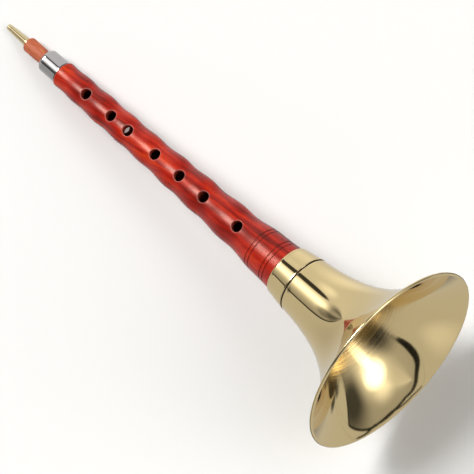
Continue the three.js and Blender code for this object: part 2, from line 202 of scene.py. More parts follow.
def build_tent():
    world = bpy.data.worlds.new("white_tent_with_panel")
    world.use_nodes = True
    tree = world.node_tree
    tree.nodes.clear()
    direction = add_node(tree, "ShaderNodeTexCoord")
    turned = add_node(tree, "ShaderNodeMapping", {
        "Vector": direction.outputs["Generated"], "Rotation": directions.to_euler(),
    }, vector_type="TEXTURE")
    part = add_node(tree, "ShaderNodeSeparateXYZ", {0: turned})
    about = add_node(tree, "ShaderNodeMath", {0: part.outputs[1], 1: part.outputs[0]}, operation="ARCTAN2")
    towards = add_node(tree, "ShaderNodeMath", {0: part.outputs[2]}, operation="ARCSINE")
    about_degrees, towards_degrees = (
        add_node(tree, "ShaderNodeMath", {0: angle}, operation="DEGREES") for angle in (about, towards)
    )
    across, along, over_end = (
        add_node(tree, "ShaderNodeVectorMath", {0: turned, 1: normal}, operation="DOT_PRODUCT").outputs["Value"]
        for normal in (near_edge_normal, near_edge_along, end_edge_normal)
    )

    def curve(value, stops):
        """Reads a broken line through the stops at a value."""
        places, levels = zip(*stops)
        lowest, highest = min(levels), max(levels)
        share = add_node(tree, "ShaderNodeMapRange", {0: value, 1: places[0], 2: places[-1]})
        ramp = add_node(tree, "ShaderNodeValToRGB", {0: share})
        shares = [(level - lowest) / (highest - lowest) for level in levels]
        set_stops(ramp, list(zip(places, shares)), places[0], places[-1])
        return add_node(tree, "ShaderNodeMapRange", {0: ramp, 3: lowest, 4: highest})

    def black_edge(middle, width):
        """How much light a black edge lets by, and how far a direction is beyond its middle."""
        off = add_node(tree, "ShaderNodeMath", {0: across, 1: curve(along, middle)}, operation="SUBTRACT")
        reach = add_node(tree, "ShaderNodeMath", {0: off}, operation="ABSOLUTE")
        reach = add_node(tree, "ShaderNodeMath", {0: reach, 1: curve(along, width)}, operation="DIVIDE")
        light = add_node(tree, "ShaderNodeMapRange", {0: reach, 1: edge_core, 2: 1.0, 3: edge_light, 4: 1.0})
        return light, off

    def soft_spot(angle, tilt, width, height, edge):
        """A soft oval in the tent: 1 in its middle, 0 outside."""
        place = add_node(tree, "ShaderNodeCombineXYZ", {0: about, 1: towards})
        off = add_node(tree, "ShaderNodeMapping", {
            "Vector": place, "Location": (math.radians(angle), math.radians(tilt), 0),
            "Scale": (math.radians(width), math.radians(height), 1),
        }, vector_type="TEXTURE")
        reach = add_node(tree, "ShaderNodeVectorMath", {0: off}, operation="LENGTH")
        return add_node(
            tree, "ShaderNodeMapRange", {0: reach.outputs["Value"], 1: edge, 2: 1.0, 3: 1.0, 4: 0.0},
            interpolation_type="SMOOTHSTEP",
        )

    def shaded(light, spots):
        for *place, depth in spots:
            kept = add_node(tree, "ShaderNodeMapRange", {0: soft_spot(*place), 3: 1.0, 4: 1 - depth})
            light = add_node(tree, "ShaderNodeMath", {0: light, 1: kept}, operation="MULTIPLY")
        return light

    near_edge, off_edge = black_edge(near_edge_middle, near_edge_width)
    second_edge, _ = black_edge(second_edge_middle, second_edge_width)
    in_panel = add_node(tree, "ShaderNodeMath", {0: off_edge, 1: over_end}, operation="MINIMUM")
    in_panel = add_node(tree, "ShaderNodeMath", {0: in_panel, 1: 0.0}, operation="GREATER_THAN")
    mouth_glow = add_node(tree, "ShaderNodeMix", {
        0: in_panel, 2: tent_glow, 3: shaded(curve(about_degrees, over_mouth), panel_shades),
    })
    outside = add_node(tree, "ShaderNodeMath", {0: off_edge, 1: 0.0}, operation="LESS_THAN")
    end_line = add_node(
        tree, "ShaderNodeMath", {0: curve(over_end, end_edge), 1: outside}, operation="MAXIMUM",
    )
    for line in (near_edge, second_edge, end_line):
        mouth_glow = add_node(tree, "ShaderNodeMath", {0: mouth_glow, 1: line}, operation="MULTIPLY")
    reed_share = add_node(
        tree, "ShaderNodeMapRange", {0: towards_degrees, 1: side_blend_start, 2: side_blend_end},
        interpolation_type="SMOOTHSTEP",
    )
    glow = add_node(tree, "ShaderNodeMix", {0: reed_share, 2: mouth_glow, 3: curve(about_degrees, over_reed)})
    left = curve(towards_degrees, dim_between)
    glow = add_node(tree, "ShaderNodeMath", {0: glow, 1: left}, operation="MULTIPLY")
    glow = shaded(glow, shades)
    for *place, strength in lamps:
        spot = soft_spot(*place)
        glow = add_node(tree, "ShaderNodeMath", {0: spot, 1: strength, 2: glow}, operation="MULTIPLY_ADD")
    tent = add_node(tree, "ShaderNodeBackground", {"Color": linear("#ffffff"), "Strength": glow})
    add_node(tree, "ShaderNodeOutputWorld", {"Surface": tent})
    bpy.context.scene.world = world
    bpy.context.scene.view_settings.view_transform = "Standard"


def lay_floor():
    mesh = bpy.data.meshes.new("floor")
    reach = 6.0
    mesh.from_pydata(
        [(-reach, -reach, 0), (reach, -reach, 0), (reach, reach, 0), (-reach, reach, 0)], [], [(0, 1, 2, 3)],
    )
    paper = bpy.data.materials.new("pale_floor_paper")
    paper.use_nodes = True
    set_inputs(paper.node_tree, paper.node_tree.nodes["Principled BSDF"], {
        "Base Color": linear(floor_colour), "Roughness": 0.9, "Specular IOR Level": 0.0,
    })
    mesh.materials.append(paper)
    floor = bpy.data.objects.new("floor", mesh)
    bpy.context.scene.collection.objects.link(floor)
    floor.visible_glossy = False


build_tent()
lay_floor()


# The bell is spun from thin sheet brass: an exponential horn whose edge is rolled round a wire, with a
# stepped-in spigot at the neck that goes up inside the collar. It is buffed to a mirror outside. Inside it
# keeps the rings of the spinning tool, most of all down in the throat.
seam_gap = 0.8
step_length = 0.7
spigot_length = 5.0
collar_length = 18.2
collar_widening = 2.8
lip_rise = 1.3
lip_depth = 2.0
body_low_radius = 19.35
bell_sides = 240
roll_turn_share = 0.74
roll_middle = rim_radius - roll_radius - sheet / 2
rim_density = 1.25
seam_height = bell_length + seam_gap
collar_top = seam_height + collar_length
lip_height = collar_top - lip_depth
brass_colour = "#e7d09b"
# How far the seam's band of painted shade reaches either way of its middle, in mm.
seam_band_reach = 0.45


def collar_radius(height):
    """The outer radius of the collar's cone, carried on below it."""
    slope = collar_widening / (collar_length - lip_depth)
    return body_low_radius + clearance + lip_rise + (lip_height - height) * slope


def spigot_radius(height):
    return collar_radius(height) - sheet - clearance


def turned_grid(tree, sides, steps, section):
    """A grid turned about the axis. section makes the radius and height of its rows from a share, 0 to 1."""
    grid = add_node(
        tree, "GeometryNodeMeshGrid", {"Size X": 1.0, "Size Y": 1.0, "Vertices X": sides, "Vertices Y": steps + 1},
    )
    flat = add_node(tree, "ShaderNodeSeparateXYZ", {0: add_node(tree, "GeometryNodeInputPosition")})
    turn = add_node(tree, "ShaderNodeMapRange", {0: flat.outputs[0], 1: -0.5, 2: 0.5, 3: 0.0, 4: 2 * math.pi})
    share = add_node(tree, "ShaderNodeMapRange", {0: flat.outputs[1], 1: -0.5, 2: 0.5, 3: 0.0, 4: 1.0})
    radius, height = section(share)
    drawn = add_node(tree, "ShaderNodeCombineXYZ", {0: radius, 2: height})
    place = add_node(tree, "ShaderNodeVectorRotate", {"Vector": drawn, "Angle": turn}, rotation_type="Z_AXIS")
    return add_node(tree, "GeometryNodeSetPosition", {"Geometry": grid, "Position": place})


def geometry_tree(name, sizes, count):
    """A geometry tree with its inputs, of which the last is a whole number, and the sockets that give them."""
    tree = bpy.data.node_groups.new(name, "GeometryNodeTree")
    for size in sizes:
        tree.interface.new_socket(name=size, in_out="INPUT", socket_type="NodeSocketFloat")
    tree.interface.new_socket(name=count, in_out="INPUT", socket_type="NodeSocketInt")
    tree.interface.new_socket(name="Geometry", in_out="OUTPUT", socket_type="NodeSocketGeometry")
    return tree, add_node(tree, "NodeGroupInput").outputs


def coated_output(tree, geometry, material):
    real = add_node(tree, "GeometryNodeRealizeInstances", {"Geometry": geometry})
    coated = add_node(tree, "GeometryNodeSetMaterial", {"Geometry": real, "Material": material})
    add_node(tree, "NodeGroupOutput", {0: coated})
    return tree


def bell_tree(material):
    """Geometry nodes for the middle of the bell's sheet: roll, flare, step and spigot, each a turned grid."""
    tree, given = geometry_tree("spun_bell", (
        "Roll Centre Radius", "Roll Radius", "Roll Height", "Roll Start", "Roll End", "Lowest", "Flare Radius",
        "Flare Widening", "Fade Height", "Neck Radius", "Neck Height", "Spigot Low Radius",
        "Spigot Low Height", "Spigot Top Radius", "Spigot Top Height",
    ), "Sides")

    def roll(share):
        angle = add_node(tree, "ShaderNodeMapRange", {0: share, 3: given["Roll Start"], 4: given["Roll End"]})
        radius, height = (
            add_node(tree, "ShaderNodeMath", {
                0: add_node(tree, "ShaderNodeMath", {0: angle}, operation=wave),
                1: given["Roll Radius"], 2: given[middle],
            }, operation="MULTIPLY_ADD")
            for wave, middle in (("COSINE", "Roll Centre Radius"), ("SINE", "Roll Height"))
        )
        return radius, add_node(tree, "ShaderNodeMath", {0: height, 1: given["Lowest"]}, operation="MAXIMUM")

    def flare(share):
        dense_at_rim = add_node(tree, "ShaderNodeMath", {0: share, 1: rim_density}, operation="POWER")
        height = add_node(
            tree, "ShaderNodeMapRange", {0: dense_at_rim, 3: given["Lowest"], 4: given["Neck Height"]},
        )
        rise = add_node(tree, "ShaderNodeMath", {0: given["Lowest"], 1: height}, operation="SUBTRACT")
        fades = add_node(tree, "ShaderNodeMath", {0: rise, 1: given["Fade Height"]}, operation="DIVIDE")
        left = add_node(tree, "ShaderNodeMath", {0: fades}, operation="EXPONENT")
        shed = add_node(tree, "ShaderNodeMath", {0: 1.0, 1: left}, operation="SUBTRACT")
        narrowing = add_node(
            tree, "ShaderNodeMath", {0: shed, 1: given["Flare Widening"]}, operation="MULTIPLY",
        )
        radius = add_node(
            tree, "ShaderNodeMath", {0: given["Flare Radius"], 1: narrowing}, operation="SUBTRACT",
        )
        return radius, height

    def cone(share, start, end, blend):
        return [
            add_node(
                tree, "ShaderNodeMapRange", {0: share, 3: given[f"{start} {size}"], 4: given[f"{end} {size}"]},
                interpolation_type=kind,
            )
            for size, kind in (("Radius", blend), ("Height", "LINEAR"))
        ]

    def step(share):
        return cone(share, "Neck", "Spigot Low", "SMOOTHSTEP")

    def spigot(share):
        return cone(share, "Spigot Low", "Spigot Top", "LINEAR")

    joined = add_node(tree, "GeometryNodeJoinGeometry")
    for steps, section in ((22, roll), (110, flare), (6, step), (4, spigot)):
        tree.links.new(turned_grid(tree, given["Sides"], steps, section).outputs[0], joined.inputs[0])
    merged = add_node(tree, "GeometryNodeMergeByDistance", {"Geometry": joined, "Distance": 0.005})
    return coated_output(tree, merged, material)


def grown(name, tree, sizes):
    """The plain mesh object that a geometry tree makes from its named sizes, set in the instrument's place."""
    piece = bpy.data.objects.new(name, bpy.data.meshes.new(name))
    bpy.context.scene.collection.objects.link(piece)
    modifier = piece.modifiers.new("grow", "NODES")
    modifier.node_group = tree
    for item in tree.interface.items_tree:
        if item.in_out == "INPUT":
            modifier[item.identifier] = sizes[item.name]
    evaluated = piece.evaluated_get(bpy.context.evaluated_depsgraph_get())
    mesh = bpy.data.meshes.new_from_object(evaluated)
    piece.modifiers.remove(modifier)
    mesh.name = name
    piece.data = mesh
    mesh.transform(instrument)
    return piece


def finish_mesh(piece, crease_degrees=32):
    """Turns all faces outwards and shades them smoothly, but not across creases."""
    shape = bmesh.new()
    shape.from_mesh(piece.data)
    bmesh.ops.remove_doubles(shape, verts=shape.verts, dist=0.000002)
    bmesh.ops.recalc_face_normals(shape, faces=shape.faces)
    shape.to_mesh(piece.data)
    shape.free()
    piece.data.polygons.foreach_set("use_smooth", [True] * len(piece.data.polygons))
    piece.data.set_sharp_from_angle(angle=math.radians(crease_degrees))


def ride_as(piece, body, node):
    """The piece rides on its body in place of its solid, which is hidden."""
    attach(piece, body)
    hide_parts(node)


def new_material(name):
    """A material with its tree, its shader, and the node that gives places on a piece in millimetres: across to
    the holes, across to the side, and up from the mouth."""
    material = bpy.data.materials.new(name)
    material.use_nodes = True
    tree = material.node_tree
    place = add_node(tree, "ShaderNodeMapping", {
        "Vector": add_node(tree, "ShaderNodeTexCoord").outputs["Object"],
        "Location": instrument.to_translation(),
        "Rotation": instrument.to_euler(),
        "Scale": (0.001, 0.001, 0.001),
    }, vector_type="TEXTURE")
    return material, tree, tree.nodes["Principled BSDF"], place


def buffed_brass():
    """Brass buffed on a wheel: a mirror with the faintest haze, a little uneven where the wheel dwelt. A narrow
    band in the seam between bell and collar is painted near black, matt and not metal: painted shade in the gap,
    which makes it a crisp dark line."""
    material, tree, shader, place = new_material("buffed_spun_brass")
    part = add_node(tree, "ShaderNodeSeparateXYZ", {0: place})
    haze = add_node(tree, "ShaderNodeTexNoise", {"Vector": place, "Scale": 0.05, "Detail": 3.0})
    roughness = add_node(tree, "ShaderNodeMapRange", {0: haze, 1: 0.3, 2: 0.7, 3: 0.035, 4: 0.075})
    # Painted shade: a band round the seam is coloured near black, matt and not metal, to darken the gap.
    seam_shade_band = add_node(
        tree, "ShaderNodeMath", {0: part.outputs[2], 1: bell_length + seam_gap / 3, 2: seam_band_reach},
        operation="COMPARE",
    )
    colour = add_node(
        tree, "ShaderNodeMix", {0: seam_shade_band, 6: linear(brass_colour), 7: linear("#1c150e")}, data_type="RGBA",
    )
    metal, dullness = (
        add_node(tree, "ShaderNodeMix", {0: seam_shade_band, 2: unshaded, 3: seam_shaded})
        for unshaded, seam_shaded in ((1.0, 0.0), (roughness, 0.7))
    )
    set_inputs(tree, shader, {"Base Color": colour.outputs[2], "Metallic": metal, "Roughness": dullness})
    return material


def ringed_brass():
    """Brass as it left the spinning chuck: a soft mirror at the rim, and rings of the tool deep in the throat,
    which no buffing wheel reaches and where the brass has gone a little brown between them."""
    material, tree, shader, place = new_material("ringed_spun_brass")
    part = add_node(tree, "ShaderNodeSeparateXYZ", {0: place})
    rings = add_node(
        tree, "ShaderNodeTexNoise", {"W": part.outputs[2], "Scale": 0.8, "Detail": 4.0, "Roughness": 0.7},
        noise_dimensions="1D",
    )
    depth = add_node(
        tree, "ShaderNodeMapRange", {0: part.outputs[2], 1: 15.0, 2: 50.0, 3: 0.0, 4: 1.0},
        interpolation_type="SMOOTHSTEP",
    )
    deep_rings = add_node(tree, "ShaderNodeMath", {0: rings, 1: depth}, operation="MULTIPLY")
    throat = add_node(
        tree, "ShaderNodeMapRange", {0: part.outputs[2], 1: 22.0, 2: 75.0}, interpolation_type="SMOOTHSTEP",
    )
    streaks = add_node(tree, "ShaderNodeMapRange", {0: rings, 1: 0.35, 2: 0.65, 3: 0.45, 4: 1.0})
    tarnish = add_node(tree, "ShaderNodeMath", {0: throat, 1: streaks}, operation="MULTIPLY")
    colour = add_node(
        tree, "ShaderNodeMix", {0: tarnish, 6: linear(brass_colour), 7: linear("#a87c3e")}, data_type="RGBA",
    )
    relief = add_node(tree, "ShaderNodeBump", {"Height": deep_rings, "Strength": 1.0, "Distance": 0.00016})
    roughness = add_node(tree, "ShaderNodeMapRange", {0: depth, 3: 0.06, 4: 0.16})
    set_inputs(tree, shader, {
        "Base Color": colour.outputs[2], "Metallic": 1.0, "Roughness": roughness, "Normal": relief,
    })
    return material


mirror_brass = buffed_brass()


def make_bell():
    flare_radius = roll_middle - roll_radius * math.cos(mouth_lean)
    lowest = roll_height - roll_radius * math.sin(mouth_lean)
    neck_height = bell_length - step_length
    spigot_top = seam_height + spigot_length
    roll_start = mouth_lean - math.pi
    flared_share = 1 - math.exp((lowest - neck_height) / flare_fade_height)
    piece = grown("spun_bell", bell_tree(mirror_brass), {
        "Roll Centre Radius": roll_middle,
        "Roll Radius": roll_radius,
        "Roll Height": roll_height,
        "Roll Start": roll_start,
        "Roll End": roll_start + roll_turn_share * 2 * math.pi,
        "Lowest": lowest,
        "Flare Radius": flare_radius,
        "Flare Widening": (flare_radius - neck_radius) / flared_share,
        "Fade Height": flare_fade_height,
        "Neck Radius": neck_radius,
        "Neck Height": neck_height,
        "Spigot Low Radius": spigot_radius(bell_length) - sheet / 2,
        "Spigot Low Height": bell_length,
        "Spigot Top Radius": spigot_radius(spigot_top) - sheet / 2,
        "Spigot Top Height": spigot_top,
        "Sides": bell_sides,
    })
    finish_mesh(piece)
    piece.data.flip_normals()
    piece.data.materials.append(ringed_brass())
    wall = piece.modifiers.new("sheet", "SOLIDIFY")
    wall.thickness = sheet / 1000
    wall.offset = 0
    wall.use_even_offset = True
    wall.material_offset = 1
    ride_as(piece, "bell", "bell")


make_bell()


# The wire in the rim is a plain ring of drawn brass. The bell's edge is rolled round it, which stiffens the
# mouth, and it shows only in the narrow opening of the roll.
def turned_piece(name, outline, sides, material):
    """A closed outline of radii and heights, turned about the axis into a ring, in the instrument's place."""
    outline = np.array(outline, float)
    turns = np.arange(sides) * 2 * math.pi / sides
    points = np.stack((
        np.outer(np.cos(turns), outline[:, 0]),
        np.outer(np.sin(turns), outline[:, 0]),
        np.tile(outline[:, 1], (sides, 1)),
    ), axis=2).reshape(-1, 3)
    count = len(outline)
    faces = [
        (side * count + spot, next_side * count + spot, next_side * count + next_spot, side * count + next_spot)
        for side, next_side in ((s, (s + 1) % sides) for s in range(sides))
        for spot, next_spot in ((p, (p + 1) % count) for p in range(count))
    ]
    mesh = bpy.data.meshes.new(name)
    mesh.from_pydata(points.tolist(), [], faces)
    mesh.transform(instrument)
    mesh.materials.append(material)
    piece = bpy.data.objects.new(name, mesh)
    bpy.context.scene.collection.objects.link(piece)
    finish_mesh(piece)
    return piece


def arc(centre, radius, start_degrees, end_degrees, steps):
    """Points on an arc, by angle from straight outwards to straight up."""
    angles = np.radians(np.linspace(start_degrees, end_degrees, steps + 1))
    across, up = (radius, radius) if np.isscalar(radius) else radius
    return [(centre[0] + across * math.cos(a), centre[1] + up * math.sin(a)) for a in angles]


def hazed_metal(name, colour, haze_scale, detail, smoothest, roughest):
    """A bare metal surface in one colour, with a haze that makes it rougher here and there."""
    material, tree, shader, place = new_material(name)
    grain = add_node(tree, "ShaderNodeMapping", {"Vector": place, "Scale": haze_scale})
    haze = add_node(tree, "ShaderNodeTexNoise", {"Vector": grain, "Scale": 1.0, "Detail": detail})
    roughness = add_node(tree, "ShaderNodeMapRange", {0: haze, 1: 0.3, 2: 0.7, 3: smoothest, 4: roughest})
    set_inputs(tree, shader, {"Base Color": linear(colour), "Metallic": 1.0, "Roughness": roughness})
    return material


# Brass wire drawn through a die and left as it came: bright, but satin beside the buffed sheet.
drawn_wire = hazed_metal("drawn_brass_wire", brass_colour, (2.0, 2.0, 2.0), 2.0, 0.16, 0.28)
wire_outline = arc((roll_middle, roll_height), wire_radius, 0, 337.5, 15)
ride_as(
    turned_piece("rim_wire", wire_outline, 240, drawn_wire), "bell", "bell_rim_wire",
)


# The collar is a cone of the same sheet. The body's foot is pressed into it from the reed's side, its upper
# edge is turned in to meet the wood, and the bell's spigot stands inside its lower edge.
lip_radius = 19.9
lip_reach = 0.8
lip_swell = 1.75


def sheet_outline(middle, thickness):
    """The closed outline of a sheet with round edges, from points on the line through its middle."""
    middle = np.array(middle, float)
    along = np.gradient(middle, axis=0)
    along /= np.linalg.norm(along, axis=1, keepdims=True)
    across = np.column_stack((along[:, 1], -along[:, 0])) * thickness / 2
    along *= thickness / 2
    nose = [math.radians(angle) for angle in (36, 72, 108, 144)]
    top = [middle[-1] + across[-1] * math.cos(a) + along[-1] * math.sin(a) for a in nose]
    foot = [middle[0] - across[0] * math.cos(a) - along[0] * math.sin(a) for a in nose]
    return np.vstack((middle + across, top, (middle - across)[::-1], foot))


def straight(start, end, steps):
    """Points on a straight line, without its last one."""
    shares = np.arange(steps) / steps
    return [(start[0] + (end[0] - start[0]) * s, start[1] + (end[1] - start[1]) * s) for s in shares]


collar_foot = seam_height + sheet / 2
collar_middle = straight(
    (collar_radius(collar_foot) - sheet / 2, collar_foot), (lip_radius + lip_reach, lip_height), 12,
) + arc((lip_radius, lip_height), (lip_reach, lip_swell), 0, 90, 10)
ride_as(
    turned_piece("collar", sheet_outline(collar_middle, sheet), 192, mirror_brass),
    "bell", "bell_collar",
)


# The body is rosewood, turned on a lathe into a cone of soft waves with four cut grooves near the foot. Seven
# finger holes and a thumb hole are bored into its conical bore, and it is lacquered a clear red all over.
body_length = 252.6
body_top_radius = 10.8
body_top_round = 1.25
body_foot = 86.2
body_top = collar_top + body_length
bore_top_radius = 3.9
bore_widening = 9.0
socket_bottom = 370.0
socket_radius = 6.15
tenon_radius = 8.75
tenon_round = 2.2
tenon_top = 383.1
seat_gap = 1.6
seat_top = 98.2
outline_shares = (
    (0, 1), (0.033, 0.923), (0.078, 0.857), (0.1, 0.82), (0.136, 0.68), (0.16, 0.56), (0.2, 0.486),
    (0.247, 0.53), (0.33, 0.302), (0.38, 0.385), (0.45, 0.22), (0.49, 0.284), (0.561, 0.091), (0.612, 0.152),
    (0.673, 0.042), (0.715, 0.12), (0.766, 0.015), (0.817, 0.112), (0.872, -0.026), (0.914, 0.043),
    (0.956, -0.041), (1, 0.004),
)
groove_shares = (0.0297, 0.0435, 0.0956, 0.1089)
groove_width = 1.0
groove_depth = 0.45
finger_hole_shares = (0.19, 0.34, 0.448, 0.559, 0.682, 0.7585, 0.8725)
thumb_hole_share = 0.732
holes = [(share, 1) for share in finger_hole_shares] + [(thumb_hole_share, -1)]
low_hole_radius = 4.5
high_hole_radius = 4.2
hole_lip = 0.45
lip_wear_width = 0.6
lip_wear_margin = 0.02
dark_depth = 4.0
outer_columns = 96
bore_columns = 48
row_step = 0.6
patch_rows = 20
patch_columns = 18


def smooth_through(stations, values, at):
    """Reads a natural cubic curve through the stations at the given places."""
    stations, values = np.array(stations, float), np.array(values, float)
    gaps = np.diff(stations)
    slopes = np.diff(values) / gaps
    system = np.eye(len(stations))
    bends = np.zeros(len(stations))
    for i in range(1, len(stations) - 1):
        system[i, i - 1:i + 2] = gaps[i - 1], 2 * (gaps[i - 1] + gaps[i]), gaps[i]
        bends[i] = 6 * (slopes[i] - slopes[i - 1])
    bends = np.linalg.solve(system, bends)
    span = np.clip(np.searchsorted(stations, at, side="right") - 1, 0, len(gaps) - 1)
    below, above, gap = at - stations[span], stations[span + 1] - at, gaps[span]
    return (
        (bends[span] * above ** 3 + bends[span + 1] * below ** 3) / (6 * gap)
        + (values[span] / gap - bends[span] * gap / 6) * above
        + (values[span + 1] / gap - bends[span + 1] * gap / 6) * below
    )


def body_radius(heights):
    shares = np.clip((np.asarray(heights, float) - collar_top) / body_length, 0, 1)
    widening = smooth_through(*zip(*outline_shares), shares)
    return body_top_radius + widening * (body_low_radius - body_top_radius)


def bore_radius(heights):
    share = (socket_bottom - np.asarray(heights, float)) / (socket_bottom - body_foot)
    return bore_top_radius + bore_widening * share


def body_rows():
    """Radius and height of each ring of points outside: seat, waves with grooves, tenon, and plug socket."""
    round_start = body_top - body_top_round
    heights = np.linspace(collar_top, round_start, round((round_start - collar_top) / row_step) + 1)
    radii = body_radius(heights)
    grooves = collar_top + body_length * np.array(groove_shares)
    near_groove = np.min(np.abs(heights[:, None] - grooves), axis=1) < groove_width * 0.7
    cut = np.array((-1.3, -1, -0.94, -0.8, -0.58, -0.3, 0, 0.3, 0.58, 0.8, 0.94, 1, 1.3))
    cut_heights = (grooves[:, None] + cut * groove_width / 2).ravel()
    depths = np.tile(groove_depth * np.sqrt(np.clip(1 - cut ** 2, 0, 1)), len(grooves))
    heights = np.concatenate((heights[~near_groove], cut_heights))
    radii = np.concatenate((radii[~near_groove], body_radius(cut_heights) - depths))
    order = np.argsort(heights)
    seat_low, seat_high = ((collar_radius(height) - seat_gap, height) for height in (body_foot, seat_top))
    rows = straight(seat_low, seat_high, 4) + straight(seat_high, (body_low_radius, collar_top), 6)
    rows += list(zip(radii[order], heights[order]))
    edge = float(body_radius(round_start))
    rows += arc((edge - body_top_round, round_start), body_top_round, 15, 90, 5)
    rows += straight((tenon_radius, body_top), (tenon_radius, tenon_top - tenon_round), 4)
    rows += arc((tenon_radius - tenon_round, tenon_top - tenon_round), tenon_round, 0, 90, 6)
    rows += straight((socket_radius, tenon_top), (socket_radius, socket_bottom), 5)
    rows.append((socket_radius, socket_bottom))
    return np.array(rows)


def add_rings(points, rows, columns):
    """Adds a ring of points about the axis for each row and returns their numbers, one line for each ring."""
    turns = np.arange(columns) * 2 * math.pi / columns
    first = len(points)
    for radius, height in rows:
        points.extend(zip(radius * np.cos(turns), radius * np.sin(turns), np.full(columns, height)))
    return np.arange(first, len(points)).reshape(len(rows), columns)


def join_loops(faces, loop, next_loop):
    for i in range(len(loop)):
        j = (i + 1) % len(loop)
        faces.append((loop[i], loop[j], next_loop[j], next_loop[i]))


def patch_edge(numbers, row, column, side):
    """The points round a hole's patch of the grid, from its low corner, in the same sense on both sides."""
    rows = row + np.arange(-patch_rows // 2, patch_rows // 2 + 1)
    columns = (column + side * np.arange(-patch_columns // 2, patch_columns // 2 + 1)) % numbers.shape[1]
    return np.concatenate((
        numbers[rows[0], columns[:-1]], numbers[rows[:-1], columns[-1]],
        numbers[rows[-1], columns[:0:-1]], numbers[rows[:0:-1], columns[0]],
    ))


def bore_hole(points, faces, wood, height, radius, side):
    """Bores one hole: both patches are drawn in to a circle, with a rounded lip outside and a straight wall."""
    count = 2 * (patch_rows + patch_columns)
    angles = math.radians(-135) + np.arange(count) * 2 * math.pi / count
    ring = np.column_stack((np.cos(angles), np.sin(angles)))

    def add_loop(across, heights, out):
        first = len(points)
        points.extend(zip(out, across, heights))
        return np.arange(first, first + count)

    def on_surface(surface_radius, spots, depth=0.0):
        return side * (np.sqrt(surface_radius(spots[:, 1]) ** 2 - spots[:, 0] ** 2) - depth)

    def drawn_in(edge, surface_radius, hole_radius):
        """Loops from a patch's edge towards the circle, which they leave out."""
        loops = [edge]
        corner = np.array([points[number][1:] for number in edge])
        for share in (0.32, 0.62, 0.85):
            spots = corner * (1 - share) + (ring * hole_radius + (0, height)) * share
            loops.append(add_loop(spots[:, 0], spots[:, 1], on_surface(surface_radius, spots)))
        return loops

    outer, bore = wood
    loops = []
    for grid, surface_radius, hole_radius in ((outer, body_radius, radius + hole_lip), (bore, bore_radius, radius)):
        row = int(np.argmin(np.abs(grid["heights"] - height)))
        column = 0 if side > 0 else grid["numbers"].shape[1] // 2
        cells = (column + np.arange(-patch_columns // 2, patch_columns // 2)) % grid["numbers"].shape[1]
        grid["open"][row - patch_rows // 2:row + patch_rows // 2, cells] = True
        edge = patch_edge(grid["numbers"], row, column, side)
        loops.append(drawn_in(edge, surface_radius, hole_radius))
    sleeve = []
    for lip_angle in np.radians((0, 22.5, 45, 67.5, 90)):
        spots = ring * (radius + hole_lip * (1 - math.sin(lip_angle))) + (0, height)
        out = on_surface(body_radius, spots, hole_lip * (1 - math.cos(lip_angle)))
        sleeve.append(add_loop(spots[:, 0], spots[:, 1], out))
    inner_out = on_surface(bore_radius, spots)
    for share in (0.33, 0.67, 1.0):
        sleeve.append(add_loop(spots[:, 0], spots[:, 1], out + (inner_out - out) * share))
    chain = loops[0] + sleeve + loops[1][::-1]
    for loop, next_loop in zip(chain, chain[1:]):
        join_loops(faces, loop, next_loop)


def body_mesh():
    points, faces = [], []
    rows = body_rows()
    bore_steps = round((socket_bottom - body_foot) / row_step)
    bore_heights = np.linspace(body_foot, socket_bottom, bore_steps + 1)
    bore_rows = np.column_stack((bore_radius(bore_heights), bore_heights))
    shown = (rows[:, 1] >= collar_top) & (rows[:, 1] <= body_top - body_top_round)
    outer = {
        "numbers": add_rings(points, rows, outer_columns),
        "heights": np.where(shown, rows[:, 1], -1.0),
        "open": np.zeros((len(rows) - 1, outer_columns), bool),
    }
    bore = {
        "numbers": add_rings(points, bore_rows, bore_columns),
        "heights": bore_heights,
        "open": np.zeros((len(bore_rows) - 1, bore_columns), bool),
    }
    hole_span = finger_hole_shares[-1] - finger_hole_shares[0]
    for share, side in holes:
        narrowing = (high_hole_radius - low_hole_radius) * (share - finger_hole_shares[0])
        radius = low_hole_radius + narrowing / hole_span
        bore_hole(points, faces, (outer, bore), collar_top + body_length * share, radius, side)
    for grid in (outer, bore):
        numbers = grid["numbers"]
        for row, column in zip(*np.nonzero(~grid["open"])):
            following = (column + 1) % numbers.shape[1]
            faces.append((
                numbers[row, column], numbers[row, following],
                numbers[row + 1, following], numbers[row + 1, column],
            ))
    for wide, narrow in zip(outer["numbers"][[0, -1]], bore["numbers"][[0, -1]]):
        for i in range(bore_columns):
            following = (i + 1) % bore_columns
            faces.append((
                wide[2 * i], wide[2 * i + 1], wide[(2 * i + 2) % outer_columns], narrow[following], narrow[i],
            ))
    mesh = bpy.data.meshes.new("turned_body")
    mesh.from_pydata([tuple(map(float, point)) for point in points], [], [tuple(map(int, f)) for f in faces])
    return mesh


def mark_surface(mesh):
    """Keeps on each point how deep it is in a groove or hole, in mm, and how worn its edge is (hole lips)."""
    points = np.array([vertex.co for vertex in mesh.vertices])
    under = body_radius(points[:, 2]) - np.hypot(points[:, 0], points[:, 1])
    deep = np.clip(under, 0, dark_depth)
    worn = np.zeros(len(points))
    for share, side in holes:
        reach = np.hypot(points[:, 1], points[:, 2] - collar_top - body_length * share)
        near = np.clip(1 - np.abs(reach - high_hole_radius - hole_lip) / lip_wear_width, 0, 1)
        worn = np.maximum(worn, near * (points[:, 0] * side > 0) * (under < hole_lip + lip_wear_margin))
    for name, values in (("deep", deep), ("worn", worn)):
        mesh.attributes.new(name, "FLOAT", "POINT").data.foreach_set("value", values)


